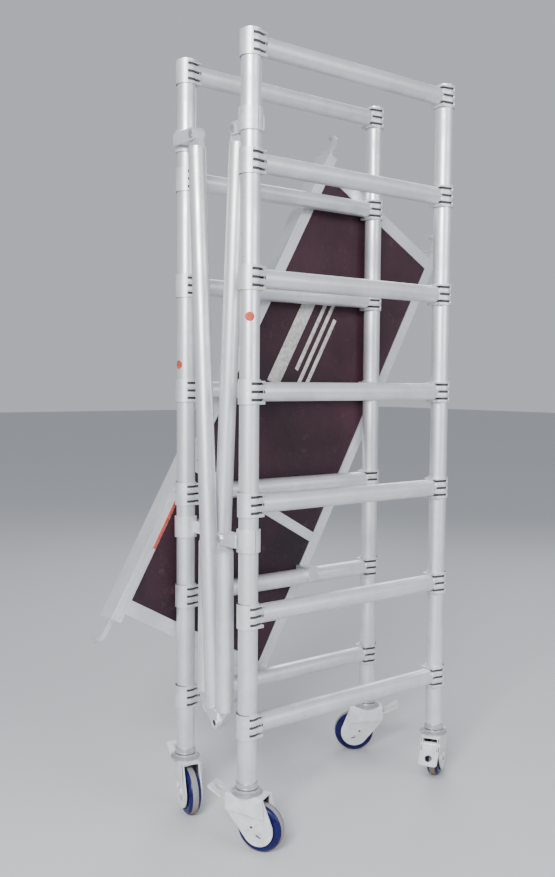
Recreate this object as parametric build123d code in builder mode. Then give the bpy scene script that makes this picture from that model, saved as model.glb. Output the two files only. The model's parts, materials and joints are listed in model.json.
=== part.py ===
"""Folding frame scaffold section: two rung frames, two folding diagonals, a stowed deck, four casters."""
import os
from math import atan2, cos, degrees, radians, sin, sqrt

from build123d import *

# ---------------------------------------------------------------- driving dimensions, millimetres
LADDER_WIDTH = 690.0        # between the axes of the two uprights of a rung frame
FOLDED_GAP = 288.0          # between the two rung frames when the section is folded
RUNG_COUNT = 7
RUNG_PITCH = 280.0
LOWEST_RUNG = 316.0         # height of the lowest rung's axis above the floor
UPRIGHT_D = 50.0
UPRIGHT_WALL = 2.5
SOCKET_DEPTH = 120.0        # reamed length at the top of an upright, for the spigot of a stacked frame
SOCKET_WALL = 2.0
RUNG_D = 48.0
RUNG_WALL = 2.0

# origin: on the floor, under the middle of the whole outline
LEFT_X = -392.81
FRONT_Y = -148.03

# rung collars: cast sleeves that clasp the upright and hold the rung end
COLLAR_HEIGHT = 62.0
COLLAR_WALL = 3.4
COLLAR_REACH = 53.0         # from the upright's axis to the mouth of the rung sleeve
SLOT_HEIGHT = 5.0
SLOT_PITCH = 13.0
SLOT_DEPTH = 2.4
SEAT = 0.2                  # radial clearance of a sleeve on a tube of its own frame

# folding diagonals
BRACE_D = 45.0
BRACE_WALL = 2.0
BRACE_LAYER = 26.0          # sideways offset of each diagonal from the uprights' plane
UPPER_PIVOT_Z = 1816.0
LOWER_PIVOT_Z = 786.0
KNUCKLE_Z = 306.0
UPPER_REACH = 88.0          # from an upright's axis to its upper brace pivot
LOWER_REACH = 66.0          # from an upright's axis to its lower brace pivot
KNUCKLE_REACH = 85.0        # from an upright's axis to the folded knuckle pivot beside it
KNUCKLE_OFFSET = 25.0       # from a brace tube's axis to its knuckle pivot
TUBE_SETBACK = 40.0         # from a pivot to the end of the tube beside it
TONGUE = 20.0               # thickness of an eye or tongue
EAR = 5.0                   # thickness of a fork's ear
EAR_R = 16.0
PIVOT_D = 12.0
EAR_GAP = 0.5               # play between a tongue and each ear
RUNNING = 0.06              # radial play of a turning fit

CAP = 6.0                   # collar of an end fitting that butts on its tube
PLUG = 36.0                 # length of an end fitting inside its tube
BOLT_HEAD = 5.0

# brace clamps
CLAMP_HEIGHT = 56.0
CLAMP_WALL = 5.0
CLAMP_SPLIT = 3.0
WEB_CLEAR = 8.0             # between an eye and the web that joins its clamp's ears

# casters
WHEEL_D = 125.0
WHEEL_WIDTH = 32.0
HUB_D = 92.0
HUB_WIDTH = 38.0
TRAIL = 40.0                # from the swivel axis to the wheel's axle
CASTER_HEIGHT = 172.0       # floor to the foot of the upright
AXLE_D = 12.0
FORK_GAP = 41.0             # between the fork's cheeks
FORK_PLATE = 3.5
FORK_TOP = 142.0
SWIVEL_D = 60.0
SPIGOT_LENGTH = 110.0
SPIGOT_CLEARANCE = 0.25
PEDAL_WIDTH = 54.0
PEDAL_LENGTH = 68.0
PEDAL_PLATE = 4.0
PEDAL_UP = 28.0             # tilt of a released pedal, and of a pressed one
PEDAL_DOWN = -42.0
PEDAL_PIVOT = (-42.0, 118.0)  # along the fork, above the floor
PEDAL_PIN_D = 8.0
PEDAL_PAD = 46.0
PEDAL_HOLE_R = 11.0
FORK_BACK = -50.0
FORK_FRONT = 54.0
SWIVEL_PIN_R = 10.0
NUT_R = 15.0
CHEEK_R = 43.0
CHEEK_DEPTH = 40.0
TREAD_ROUND = 6.0
HUB_BOSS_R = 16.0

# deck, stowed flat against the back of the rear frame
DECK_LENGTH = 1520.0
DECK_WIDTH = 560.0
DECK_SLOPE = 60.5           # of its long side, degrees from level
RAIL_DEPTH = 58.0
RAIL_FACE = 34.0
RAIL_WALL = 3.0
PANEL_THICK = 9.0
PANEL_DROP = 2.0            # of the boards below the rails' faces
END_FACE = 40.0
END_INSET = 26.0            # from a rail's end to the end profile
CROSS_FACE = 30.0
CROSS_AT = 0.31             # of the deck's length, from its lower end
DECK_CLEAR = 1.0            # between the rear frame's sleeves and the deck's face
DECK_CENTRE_X = 405.0       # from the left uprights' axes
DECK_CENTRE_Z = 1078.0
SEAM = 0.4                  # between boards and the profiles round them
LEDGE = 14.0
CROSS_DEPTH = 24.0
RIVET_R = 2.5
RIVET_HEAD = 1.4
RIVET_PITCH = 150.0
RIVET_EDGE = 30.0
CLAW_THICK = 14.0
CLAW_BAR = 11.0
CLAW_SEAT_R = 25.0          # inside radius of a claw, for a rung
CLAW_OUT = 36.0             # from a rail's end to the middle of the seated rung
CLAW_FOOT = 8.0             # plate that closes a rail's end
UPPER_HOOK_RUNG = 2         # counted from the lowest rung, from nought
LOWER_HOOK_RUNG = 1
HOOK_WIDTH = 36.0
HOOK_PLATE = 5.0
RUNG_SEAT = 0.3

# ---------------------------------------------------------------- places worked out from them
RIGHT_X = LEFT_X + LADDER_WIDTH
REAR_Y = FRONT_Y + FOLDED_GAP
RUNG_HEIGHTS = [LOWEST_RUNG + RUNG_PITCH * n for n in range(RUNG_COUNT)]
UPRIGHT_TOP = RUNG_HEIGHTS[-1] + COLLAR_HEIGHT / 2 + 3.0
UPRIGHT_R = UPRIGHT_D / 2
RUNG_R = RUNG_D / 2
BRACE_R = BRACE_D / 2
COLLAR_R = UPRIGHT_R + SEAT + COLLAR_WALL
PIVOT_R = PIVOT_D / 2
AXLE_Z = WHEEL_D / 2
HALF_TURN = Location((2 * LEFT_X, FRONT_Y + REAR_Y, 0), (0, 0, 180))

CORNERS = {
    "front_left": (LEFT_X, FRONT_Y, -63.0, PEDAL_UP),
    "front_right": (RIGHT_X, FRONT_Y, 32.0, PEDAL_DOWN),
    "rear_left": (LEFT_X, REAR_Y, -106.0, PEDAL_UP),
    "rear_right": (RIGHT_X, REAR_Y, 142.0, PEDAL_UP),
}                           # swivel axis, heading of the trailing wheel, tilt of the brake pedal

os.makedirs("parts", exist_ok=True)


def write(piece, name):
    """Label a finished piece and write its file."""
    piece.part.label = name
    export_step(piece.part, f"parts/{name}.step")


# ---------------------------------------------------------------- rung frames
def upright(x, y):
    """One upright tube, open at both ends."""
    with BuildPart() as tube:
        with BuildSketch(Plane.XY.offset(CASTER_HEIGHT)):
            with Locations((x, y)):
                Circle(UPRIGHT_R)
                Circle(UPRIGHT_R - UPRIGHT_WALL, mode=Mode.SUBTRACT)
        extrude(amount=UPRIGHT_TOP - CASTER_HEIGHT)
        with BuildSketch(Plane.XY.offset(UPRIGHT_TOP - SOCKET_DEPTH)):
            with Locations((x, y)):
                Circle(UPRIGHT_R - SOCKET_WALL)
        extrude(amount=SOCKET_DEPTH, mode=Mode.SUBTRACT)
    return tube


def rung_set(y):
    """The rungs of one frame; each ends just short of the two uprights."""
    gap = UPRIGHT_R + 1.0
    with BuildPart() as rungs:
        for z in RUNG_HEIGHTS:
            with BuildSketch(Plane.YZ.offset(LEFT_X + gap)):
                with Locations((y, z)):
                    Circle(RUNG_R)
                    Circle(RUNG_R - RUNG_WALL, mode=Mode.SUBTRACT)
            extrude(amount=LADDER_WIDTH - 2 * gap)
    return rungs


# one collar: upright sleeve, rung sleeve along +X, a band at its mouth and slots in its two cheeks
with BuildPart() as collar:
    Cylinder(COLLAR_R, COLLAR_HEIGHT)
    with BuildSketch(Plane.YZ):
        Circle(RUNG_R + SEAT + COLLAR_WALL)
    extrude(amount=COLLAR_REACH)
    with BuildSketch(Plane.YZ.offset(COLLAR_REACH - 8)):
        Circle(RUNG_R + SEAT + COLLAR_WALL + 1.2)
    extrude(amount=8)
    for side in (-1, 1):
        with Locations(*[(COLLAR_REACH / 2 + 4, side * (COLLAR_R + 2), n * SLOT_PITCH) for n in (-1, 0, 1)]):
            Box(COLLAR_REACH - 18, 2 * (SLOT_DEPTH + 2), SLOT_HEIGHT, mode=Mode.SUBTRACT)
    Cylinder(UPRIGHT_R + SEAT, COLLAR_HEIGHT, mode=Mode.SUBTRACT)
    with BuildSketch(Plane.YZ):
        Circle(RUNG_R + SEAT)
    extrude(amount=COLLAR_REACH, mode=Mode.SUBTRACT)


def collar_set(y):
    """A collar at each end of each rung."""
    with BuildPart() as collars:
        for x, turn in ((LEFT_X, 0), (RIGHT_X, 180)):
            with Locations(*[Location((x, y, z), (0, 0, turn)) for z in RUNG_HEIGHTS]):
                add(collar.part)
    return collars


for side, y in (("front", FRONT_Y), ("rear", REAR_Y)):
    write(upright(LEFT_X, y), f"{side}_left_upright")
    write(upright(RIGHT_X, y), f"{side}_right_upright")
    write(rung_set(y), f"{side}_rungs")
    write(collar_set(y), f"{side}_rung_collars")


# ---------------------------------------------------------------- brace clamps and their bolts
# The pieces below belong to the diagonal between the front upper clamp and the rear lower clamp.
# The other diagonal is the same pieces, half a turn about the middle of the two left uprights.
EAR_INNER = TONGUE / 2 + EAR_GAP
LAYER_X = LEFT_X + BRACE_LAYER
FRONT_PIVOT_Y = FRONT_Y + UPPER_REACH
REAR_PIVOT_Y = REAR_Y - LOWER_REACH
KNUCKLE_Y = REAR_Y - KNUCKLE_REACH


def turned(*pieces):
    """Copies of pieces, half a turn about the middle of the left uprights."""
    with BuildPart() as copy:
        with Locations(HALF_TURN):
            for piece in pieces:
                add(piece.part)
    return copy


def clamp(y, z, reach):
    """A sleeve on a left upright with two ears; reach is positive towards the back."""
    side = 1 if reach > 0 else -1
    web = abs(reach) - EAR_R - UPRIGHT_R - 4 - WEB_CLEAR
    with BuildPart() as body:
        with Locations((LEFT_X, y, z)):
            Cylinder(UPRIGHT_R + SEAT + CLAMP_WALL, CLAMP_HEIGHT)
        for ear in (LAYER_X - EAR_INNER - EAR, LAYER_X + EAR_INNER):
            with BuildSketch(Plane.YZ.offset(ear)):
                with Locations((y + reach, z)):
                    Circle(EAR_R)
                with Locations((y + reach / 2, z)):
                    Rectangle(abs(reach), 2 * EAR_R)
            extrude(amount=EAR)
        with BuildSketch(Plane.YZ.offset(LAYER_X - EAR_INNER)):
            with Locations((y + side * (UPRIGHT_R + 4 + web / 2), z)):
                Rectangle(web, 2 * EAR_R)
        extrude(amount=2 * EAR_INNER)
        with BuildSketch(Plane.YZ.offset(LAYER_X)):
            with Locations((y + reach, z)):
                Circle(PIVOT_R)
        extrude(amount=EAR_INNER + EAR, both=True, mode=Mode.SUBTRACT)
        with Locations((LEFT_X, y, z)):
            Cylinder(UPRIGHT_R + SEAT, CLAMP_HEIGHT, mode=Mode.SUBTRACT)
        with Locations((LEFT_X, y - side * (UPRIGHT_R + CLAMP_WALL), z)):
            Box(CLAMP_SPLIT, 2 * CLAMP_WALL + 2, CLAMP_HEIGHT, mode=Mode.SUBTRACT)
    return body


def pivot_bolt(y, z):
    """A bolt across the brace layer, with its hexagon head and nut outside the ears."""
    half = EAR_INNER + EAR
    with BuildPart() as bolt:
        with BuildSketch(Plane.YZ.offset(LAYER_X - half)):
            with Locations((y, z)):
                Circle(PIVOT_R - RUNNING)
        extrude(amount=2 * half)
        for x, amount in ((LAYER_X - half, -BOLT_HEAD), (LAYER_X + half, BOLT_HEAD)):
            with BuildSketch(Plane.YZ.offset(x)):
                with Locations((y, z)):
                    RegularPolygon(radius=PIVOT_R + 4, side_count=6)
            extrude(amount=amount)
    return bolt


upper_clamp = clamp(FRONT_Y, UPPER_PIVOT_Z, UPPER_REACH)
lower_clamp = clamp(REAR_Y, LOWER_PIVOT_Z, -LOWER_REACH)
write(upper_clamp, "front_upper_clamp")
write(turned(upper_clamp), "rear_upper_clamp")
write(lower_clamp, "rear_lower_clamp")
write(turned(lower_clamp), "front_lower_clamp")

upper_bolt = pivot_bolt(FRONT_PIVOT_Y, UPPER_PIVOT_Z)
lower_bolt = pivot_bolt(REAR_PIVOT_Y, LOWER_PIVOT_Z)
with BuildPart() as front_clamp_bolts:
    add(turned(lower_bolt).part)
    with Locations((2 * LEFT_X - LAYER_X, FRONT_Y + REAR_Y - REAR_PIVOT_Y, LOWER_PIVOT_Z)):
        Box(2 * EAR_INNER, 3 * PIVOT_D, 3 * PIVOT_D, mode=Mode.SUBTRACT)  # open between the ears
    add(upper_bolt.part)
with BuildPart() as rear_clamp_bolts:
    add(lower_bolt.part)
    add(turned(upper_bolt).part)
write(front_clamp_bolts, "front_clamp_bolts")
write(rear_clamp_bolts, "rear_clamp_bolts")


# ---------------------------------------------------------------- folding diagonals
# Each brace is built upright about its knuckle pivot, its tube beside the pivot, and is then leaned so
# that its far eye lands on its clamp's bolt.
def lean(pivot_y, pivot_z, offset):
    """Height of the far eye over the knuckle along the tube, and the tube's lean about X in degrees."""
    across, up = pivot_y - KNUCKLE_Y, pivot_z - KNUCKLE_Z
    length = sqrt(across**2 + up**2 - offset**2)
    return length, degrees(atan2(-across, up) - atan2(-offset, length))


def eye(y, z, tube_y, tube_z, start, thickness):
    """A plate from an eye at (y, z) that widens to the end of its tube at (tube_y, tube_z)."""
    with BuildPart() as plate:
        with BuildSketch(Plane.YZ.offset(start)):
            with Locations((y, z)):
                Circle(EAR_R)
            with Locations((tube_y, tube_z)):
                Rectangle(2 * BRACE_R - 2, CAP)
            make_hull()
            with Locations((y, z)):
                Circle(PIVOT_R, mode=Mode.SUBTRACT)
        extrude(amount=thickness)
    return plate


def brace(pivot_y, pivot_z, offset, forked):
    """The tube of one brace and its two end fittings; the knuckle end is a fork or a tongue."""
    length, angle = lean(pivot_y, pivot_z, offset)
    place = Location((LAYER_X, KNUCKLE_Y, KNUCKLE_Z), (angle, 0, 0))
    low, high = TUBE_SETBACK, length - TUBE_SETBACK
    with BuildPart() as tube:
        with Locations(place):
            with Locations((0, offset, (low + high) / 2)):
                Cylinder(BRACE_R, high - low)
                Cylinder(BRACE_R - BRACE_WALL, high - low, mode=Mode.SUBTRACT)
    knuckle_plates = [-TONGUE / 2]
    thickness = TONGUE
    if forked:
        knuckle_plates = [-EAR_INNER - EAR, EAR_INNER]
        thickness = EAR
    with BuildPart() as ends:
        with Locations(place):
            for cap, plug in ((low - CAP / 2, low + PLUG / 2), (high + CAP / 2, high - PLUG / 2)):
                with Locations((0, offset, cap)):
                    Cylinder(BRACE_R, CAP)
                with Locations((0, offset, plug)):
                    Cylinder(BRACE_R - BRACE_WALL - SEAT, PLUG)
            for start in knuckle_plates:
                add(eye(0, 0, offset, low - CAP / 2, start, thickness).part)
            add(eye(offset, length, offset, high + CAP / 2, -TONGUE / 2, TONGUE).part)
    return tube, ends


long_tube, long_ends = brace(FRONT_PIVOT_Y, UPPER_PIVOT_Z, -KNUCKLE_OFFSET, True)
short_tube, short_ends = brace(REAR_PIVOT_Y, LOWER_PIVOT_Z, KNUCKLE_OFFSET, False)
knuckle_bolt = pivot_bolt(KNUCKLE_Y, KNUCKLE_Z)
write(long_tube, "front_long_brace_tube")
write(long_ends, "front_long_brace_ends")
write(knuckle_bolt, "front_knuckle_bolt")
write(short_tube, "rear_short_brace_tube")
write(short_ends, "rear_short_brace_ends")
write(turned(long_tube), "rear_long_brace_tube")
write(turned(long_ends), "rear_long_brace_ends")
write(turned(knuckle_bolt), "rear_knuckle_bolt")
write(turned(short_tube), "front_short_brace_tube")
write(turned(short_ends), "front_short_brace_ends")


# ---------------------------------------------------------------- casters
# Built about the swivel axis with the wheel trailing along +X, then turned to each heading.
def ring(r, low, high):
    """A disc about the swivel axis between two heights."""
    with Locations((0, 0, low)):
        Cylinder(r, high - low, align=(Align.CENTER, Align.CENTER, Align.MIN))


with BuildPart() as caster_stem:
    ring(NUT_R, FORK_TOP - FORK_PLATE - 7.0, FORK_TOP - FORK_PLATE - 0.5)
    ring(SWIVEL_PIN_R - RUNNING, FORK_TOP - FORK_PLATE - 1.0, FORK_TOP + 1.0)
    ring(SWIVEL_D / 2, FORK_TOP + 0.5, FORK_TOP + 14.0)
    ring(SWIVEL_D / 2 - 9, FORK_TOP + 13.0, CASTER_HEIGHT - 8.0)
    ring(UPRIGHT_R + 3, CASTER_HEIGHT - 10.0, CASTER_HEIGHT - 0.3)
    ring(UPRIGHT_R - UPRIGHT_WALL - SPIGOT_CLEARANCE, CASTER_HEIGHT - 1.0, CASTER_HEIGHT + SPIGOT_LENGTH)

FORK_WIDTH = FORK_GAP + 2 * FORK_PLATE
with BuildPart() as caster_fork:
    with Locations(((FORK_BACK + FORK_FRONT) / 2, 0, FORK_TOP)):
        Box(FORK_FRONT - FORK_BACK, FORK_WIDTH, FORK_PLATE, align=(Align.CENTER, Align.CENTER, Align.MAX))
    for cheek in (-FORK_WIDTH / 2, FORK_GAP / 2):
        with BuildSketch(Plane.XZ.offset(cheek)):
            with Locations((TRAIL, AXLE_Z)):
                Circle(CHEEK_R)
            with Locations(((FORK_BACK + FORK_FRONT) / 2, FORK_TOP - CHEEK_DEPTH / 2)):
                Rectangle(FORK_FRONT - FORK_BACK, CHEEK_DEPTH)
            make_hull()
        extrude(amount=FORK_PLATE)
    fillet(caster_fork.edges().filter_by(Axis.X).group_by(Axis.Z)[-1], FORK_PLATE * 0.8)
    with Locations((0, 0, FORK_TOP)):
        Cylinder(SWIVEL_PIN_R, 4 * FORK_PLATE, mode=Mode.SUBTRACT)
    for x, z, r in ((TRAIL, AXLE_Z, AXLE_D / 2), (*PEDAL_PIVOT, PEDAL_PIN_D / 2)):
        with BuildSketch(Plane.XZ):
            with Locations((x, z)):
                Circle(r)
        extrude(amount=FORK_WIDTH, both=True, mode=Mode.SUBTRACT)


def cross_disc(x, z, r, width, mode=Mode.ADD):
    """A disc across the fork, centred between its cheeks."""
    with Locations((x, 0, z)):
        Cylinder(r, width, rotation=(90, 0, 0), mode=mode)


with BuildPart() as wheel_tread:
    cross_disc(TRAIL, AXLE_Z, WHEEL_D / 2, WHEEL_WIDTH)
    fillet(wheel_tread.edges().filter_by(GeomType.CIRCLE), TREAD_ROUND)
    cross_disc(TRAIL, AXLE_Z, HUB_D / 2, WHEEL_WIDTH, Mode.SUBTRACT)

with BuildPart() as wheel_hub:
    cross_disc(TRAIL, AXLE_Z, HUB_D / 2 - SEAT, WHEEL_WIDTH - 8)
    cross_disc(TRAIL, AXLE_Z, HUB_D / 2 - 7, WHEEL_WIDTH - 3)
    cross_disc(TRAIL, AXLE_Z, HUB_BOSS_R, HUB_WIDTH)
    cross_disc(TRAIL, AXLE_Z, AXLE_D / 2, HUB_WIDTH, Mode.SUBTRACT)

with BuildPart() as axle_set:
    cross_disc(TRAIL, AXLE_Z, AXLE_D / 2 - RUNNING, FORK_WIDTH + 1)
    cross_disc(*PEDAL_PIVOT, PEDAL_PIN_D / 2 - RUNNING, FORK_WIDTH + 1)
    for x, z, r, h in ((TRAIL, AXLE_Z, AXLE_D / 2 + 4, 5.0), (*PEDAL_PIVOT, PEDAL_PIN_D / 2 + 2.5, 2.5)):
        for y, amount in ((-FORK_WIDTH / 2, h), (FORK_WIDTH / 2, -h)):
            with BuildSketch(Plane.XZ.offset(-y)):
                with Locations((x, z)):
                    Circle(r)
            extrude(amount=amount)

with BuildPart() as brake_pedal:
    cross_disc(0, 0, PEDAL_PIN_D / 2 + 4, FORK_GAP - 1)
    with BuildSketch(Plane.XY.offset(-PEDAL_PLATE / 2)):
        with Locations((-PEDAL_LENGTH / 2, 0)):
            Rectangle(PEDAL_LENGTH, FORK_GAP - 1)
        with Locations((-PEDAL_LENGTH + PEDAL_PAD / 2, 0)):
            Rectangle(PEDAL_PAD, PEDAL_WIDTH)
    extrude(amount=PEDAL_PLATE)
    fillet(brake_pedal.edges().filter_by(Axis.Z).group_by(Axis.X)[0], 8.0)
    with Locations((-PEDAL_LENGTH + PEDAL_PAD / 2, 0, 0)):
        Cylinder(PEDAL_HOLE_R, 4 * PEDAL_PLATE, mode=Mode.SUBTRACT)
    cross_disc(0, 0, PEDAL_PIN_D / 2, FORK_GAP, Mode.SUBTRACT)


def placed(piece, *steps):
    """A copy of a caster piece, moved by each location in turn, outermost first."""
    where = Location()
    for step in steps:
        where = where * step
    with BuildPart() as copy:
        with Locations(where):
            add(piece.part)
    return copy


for corner, (x, y, heading, tilt) in CORNERS.items():
    stand = Location((x, y, 0), (0, 0, heading))
    pivot = Location((PEDAL_PIVOT[0], 0, PEDAL_PIVOT[1]), (0, tilt, 0))
    write(placed(caster_stem, stand), f"{corner}_caster_stem")
    write(placed(caster_fork, stand), f"{corner}_caster_fork")
    write(placed(wheel_tread, stand), f"{corner}_wheel_tread")
    write(placed(wheel_hub, stand), f"{corner}_wheel_hub")
    write(placed(axle_set, stand), f"{corner}_axle_and_pedal_pin")
    write(placed(brake_pedal, stand, pivot), f"{corner}_brake_pedal")


# ---------------------------------------------------------------- deck
# Drawn on its own plane: x along its long side, y across it to the upper rail, z out of its walking face.
DECK_FACE_Y = REAR_Y + max(COLLAR_R, UPRIGHT_R + SEAT + CLAMP_WALL) + DECK_CLEAR
DECK = Plane(
    origin=(LEFT_X + DECK_CENTRE_X, DECK_FACE_Y, DECK_CENTRE_Z),
    x_dir=(cos(radians(DECK_SLOPE)), 0, sin(radians(DECK_SLOPE))),
    z_dir=(0, -1, 0),
)
RAIL_Y = (DECK_WIDTH - RAIL_FACE) / 2
BOARD_WIDTH = DECK_WIDTH - 2 * RAIL_FACE - 2 * SEAM
BOARD_TOP = -PANEL_DROP
LEDGE_TOP = BOARD_TOP - PANEL_THICK - SEAM
CROSS_X = -DECK_LENGTH / 2 + CROSS_AT * DECK_LENGTH
END_X = DECK_LENGTH / 2 - END_INSET - END_FACE / 2


def on_deck(x, y, z):
    """A point of the deck's plane in the section's frame."""
    return DECK.from_local_coords(Vector(x, y, z))


def deck_box(x, y, top, length, width, depth, mode=Mode.ADD):
    """A block on the deck's plane, centred at x and y, hanging down from its top."""
    with Locations(DECK.location * Location((x, y, top))):
        Box(length, width, depth, align=(Align.CENTER, Align.CENTER, Align.MAX), mode=mode)


def side_rail(side):
    """A hollow rail with a ledge inside for the boards."""
    with BuildPart() as rail:
        deck_box(0, side * RAIL_Y, 0, DECK_LENGTH, RAIL_FACE, RAIL_DEPTH)
        deck_box(0, side * RAIL_Y, -RAIL_WALL, DECK_LENGTH, RAIL_FACE - 2 * RAIL_WALL,
                 RAIL_DEPTH - 2 * RAIL_WALL, Mode.SUBTRACT)
        deck_box(0, side * (RAIL_Y - RAIL_FACE / 2 - LEDGE / 2), LEDGE_TOP, 2 * END_X - END_FACE,
                 LEDGE, RAIL_WALL)
    return rail


write(side_rail(1), "deck_upper_rail")
write(side_rail(-1), "deck_lower_rail")

with BuildPart() as end_profiles:
    for x in (-END_X, END_X):
        deck_box(x, 0, 0, END_FACE, DECK_WIDTH - 2 * RAIL_FACE, RAIL_DEPTH)
        deck_box(x, 0, -RAIL_WALL, END_FACE - 2 * RAIL_WALL, DECK_WIDTH - 2 * RAIL_FACE,
                 RAIL_DEPTH - 2 * RAIL_WALL, Mode.SUBTRACT)
write(end_profiles, "deck_end_profiles")

with BuildPart() as cross_profile:
    deck_box(CROSS_X, 0, 0, CROSS_FACE, BOARD_WIDTH, PANEL_DROP + PANEL_THICK + SEAM)
    deck_box(CROSS_X, 0, LEDGE_TOP - RAIL_WALL - SEAM, CROSS_FACE, BOARD_WIDTH, CROSS_DEPTH)
    deck_box(CROSS_X, 0, LEDGE_TOP, CROSS_FACE, BOARD_WIDTH - 2 * LEDGE, RAIL_WALL + SEAM)
write(cross_profile, "deck_cross_profile")


def board(start, stop):
    """A panel between two profiles, drilled for the rivets along its two long edges."""
    length = stop - start - 2 * SEAM
    with BuildPart() as panel:
        deck_box((start + stop) / 2, 0, BOARD_TOP, length, BOARD_WIDTH, PANEL_THICK)
        with BuildSketch(DECK.offset(BOARD_TOP)):
            with Locations(*rivet_places(start, stop)):
                Circle(RIVET_R)
        extrude(amount=-PANEL_THICK, mode=Mode.SUBTRACT)
    return panel


def rivet_places(start, stop):
    """Rivet centres over the ledges, evenly spaced between two profiles."""
    count = max(2, round((stop - start) / RIVET_PITCH) + 1)
    step = (stop - start - 2 * RIVET_EDGE) / (count - 1)
    across = BOARD_WIDTH / 2 - LEDGE / 2
    return [(start + RIVET_EDGE + n * step, side * across) for n in range(count) for side in (-1, 1)]


BAYS = [(-END_X + END_FACE / 2, CROSS_X - CROSS_FACE / 2), (CROSS_X + CROSS_FACE / 2, END_X - END_FACE / 2)]
write(board(*BAYS[0]), "deck_lower_board")
write(board(*BAYS[1]), "deck_upper_board")

with BuildPart() as rivets:
    for bay in BAYS:
        with BuildSketch(DECK.offset(BOARD_TOP)):
            with Locations(*rivet_places(*bay)):
                Circle(RIVET_R - 0.1)
        extrude(amount=-PANEL_THICK)
        with BuildSketch(DECK.offset(BOARD_TOP)):
            with Locations(*rivet_places(*bay)):
                Circle(RIVET_R + 3)
        extrude(amount=RIVET_HEAD)
write(rivets, "deck_board_rivets")


def claw(end, side):
    """A flat bar that leaves a rail's end and curls down over a rung."""
    centre_x = end * (DECK_LENGTH / 2 + CLAW_OUT)
    centre_z = -(CLAW_BAR + CLAW_SEAT_R)
    plane = Plane(origin=on_deck(0, side * RAIL_Y + CLAW_THICK / 2, 0), x_dir=DECK.x_dir, z_dir=DECK.y_dir)
    with BuildPart() as hook:
        with BuildSketch(plane):
            with Locations((centre_x, -centre_z)):
                Circle(CLAW_SEAT_R + CLAW_BAR)
                Circle(CLAW_SEAT_R, mode=Mode.SUBTRACT)
            with Locations((centre_x - end * CLAW_SEAT_R, -centre_z)):
                Rectangle(2 * CLAW_SEAT_R, 4 * CLAW_SEAT_R, mode=Mode.SUBTRACT)
            with Locations((centre_x + end * CLAW_SEAT_R, -centre_z + CLAW_SEAT_R * 1.3)):
                Rectangle(2.4 * CLAW_SEAT_R, 2 * CLAW_SEAT_R, mode=Mode.SUBTRACT)
            with Locations((centre_x - end * CLAW_OUT / 2, CLAW_BAR / 2)):
                Rectangle(CLAW_OUT, CLAW_BAR)
            with Locations((end * (DECK_LENGTH / 2 + CLAW_FOOT / 2), RAIL_DEPTH / 2)):
                Rectangle(CLAW_FOOT, RAIL_DEPTH - 2)
        extrude(amount=CLAW_THICK)
    return hook


with BuildPart() as claws:
    for end in (-1, 1):
        for side in (-1, 1):
            add(claw(end, side).part)
write(claws, "deck_claws")


def stowage_hook(x, rung_z):
    """A strap on a rail that drops over a rung of the rear frame."""
    inner = RUNG_R + RUNG_SEAT
    outer = inner + HOOK_PLATE
    back = DECK_FACE_Y - REAR_Y
    with BuildPart() as hook:
        with BuildSketch(Plane.YZ.offset(x - HOOK_WIDTH / 2)):
            with Locations((REAR_Y + (back - outer) / 2, rung_z + (outer - RUNG_R) / 2)):
                Rectangle(back + outer, outer + RUNG_R)
            with Locations((REAR_Y, rung_z)):
                Circle(inner, mode=Mode.SUBTRACT)
            with Locations((REAR_Y, rung_z - outer / 2)):
                Rectangle(2 * inner, outer, mode=Mode.SUBTRACT)
            with Locations((REAR_Y - outer, rung_z - RUNG_R)):
                Rectangle(4 * HOOK_PLATE, RUNG_R, mode=Mode.SUBTRACT)
        extrude(amount=HOOK_WIDTH)
    return hook


def rail_x(side, z):
    """Where a side rail's middle line crosses a height."""
    top = on_deck(0, side * RAIL_Y, 0)
    return top.X + (z - top.Z) / sin(radians(DECK_SLOPE)) * cos(radians(DECK_SLOPE))


with BuildPart() as hooks:
    add(stowage_hook(LEFT_X + COLLAR_REACH + 4 + HOOK_WIDTH / 2, RUNG_HEIGHTS[UPPER_HOOK_RUNG]).part)
    add(stowage_hook(rail_x(-1, RUNG_HEIGHTS[LOWER_HOOK_RUNG]), RUNG_HEIGHTS[LOWER_HOOK_RUNG]).part)
write(hooks, "deck_stowage_hooks")
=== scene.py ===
# %% [markdown]
# # A folding frame scaffold section
# The frame of this model is already built to size: tubes, collars, braces, casters and deck. This lesson
# loads it, gives every piece the finish it has in a hire yard, and adds the small pieces that make a
# scaffold look real. The model is in metres, Z is up, and nothing that was loaded is moved.

# %% Load the frame
import json
import math

import bmesh
import bpy
from mathutils import Matrix, Vector


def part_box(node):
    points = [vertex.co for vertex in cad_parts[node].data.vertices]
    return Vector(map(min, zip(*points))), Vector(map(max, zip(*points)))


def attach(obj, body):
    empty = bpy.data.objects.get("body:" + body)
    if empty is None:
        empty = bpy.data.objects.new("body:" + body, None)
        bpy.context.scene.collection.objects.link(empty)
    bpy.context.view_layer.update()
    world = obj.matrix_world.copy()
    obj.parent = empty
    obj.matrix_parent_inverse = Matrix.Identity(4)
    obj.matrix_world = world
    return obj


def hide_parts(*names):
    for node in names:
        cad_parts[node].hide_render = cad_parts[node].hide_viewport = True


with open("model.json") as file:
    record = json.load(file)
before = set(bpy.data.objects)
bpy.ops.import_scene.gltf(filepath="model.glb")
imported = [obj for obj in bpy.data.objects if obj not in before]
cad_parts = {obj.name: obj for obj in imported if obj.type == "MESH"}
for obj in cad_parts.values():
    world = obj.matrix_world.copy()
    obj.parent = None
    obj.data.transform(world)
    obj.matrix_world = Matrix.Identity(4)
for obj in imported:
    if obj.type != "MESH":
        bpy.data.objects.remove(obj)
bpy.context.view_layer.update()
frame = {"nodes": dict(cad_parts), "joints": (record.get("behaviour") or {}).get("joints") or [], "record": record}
joints = {joint["name"]: joint for joint in frame["joints"]}
slot_of = {part["node"]: part["material_slot"] for part in frame["record"]["subparts"]}

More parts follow.
